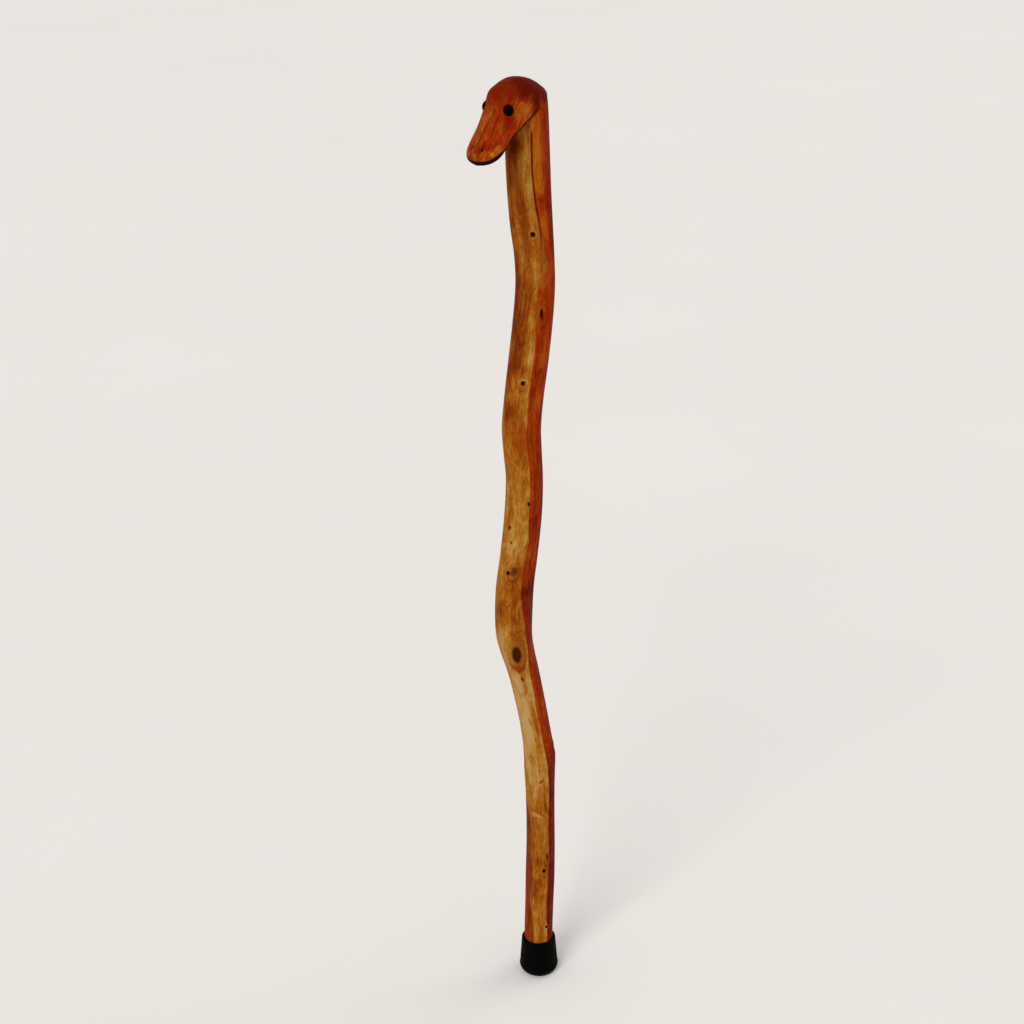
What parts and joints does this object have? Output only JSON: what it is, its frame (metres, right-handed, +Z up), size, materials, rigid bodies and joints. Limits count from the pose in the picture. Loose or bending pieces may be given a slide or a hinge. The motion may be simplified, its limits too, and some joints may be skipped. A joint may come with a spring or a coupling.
{
  "type": "carved walking stick",
  "caption": "Walking stick made from a peeled, bent natural branch, with a carved bird's head whose flat bill hooks forward, black domed eyes and a rubber ferrule.",
  "frame": {"origin": "centre of the flat face that the ferrule stands on", "axes": "+Z up the stick towards the head, -Y the way the bill points, +X the bird's left side"},
  "size_m": [0.0511, 0.0843, 0.9022],
  "materials": {
    "branch_wood": "clear satin varnish over peeled branch, yellow sapwood and red-brown heartwood",
    "head_wood": "clear satin varnish over red-brown carved wood",
    "dowel_wood": "bare turned hardwood, hidden in the joint",
    "eye_gloss": "polished black dome",
    "stem_wire": "plain drawn wire, hidden in the head",
    "ferrule_rubber": "matte moulded black rubber",
    "washer_steel": "plain zinc-coated steel"
  },
  "bodies": {
    "tip": {"ferrule": "ferrule_rubber", "ferrule_washer": "washer_steel"},
    "stick": {"shaft": "branch_wood", "head": "head_wood", "joint_dowel": "dowel_wood", "left_eye": "eye_gloss", "right_eye": "eye_gloss", "left_eye_stem": "stem_wire", "right_eye_stem": "stem_wire"}
  },
  "joints": [
    {"name": "ferrule_pull", "type": "slide", "parent": "tip", "child": "stick", "axis": [0, 0, 1], "range_m": [0, 0.032]}
  ]
}
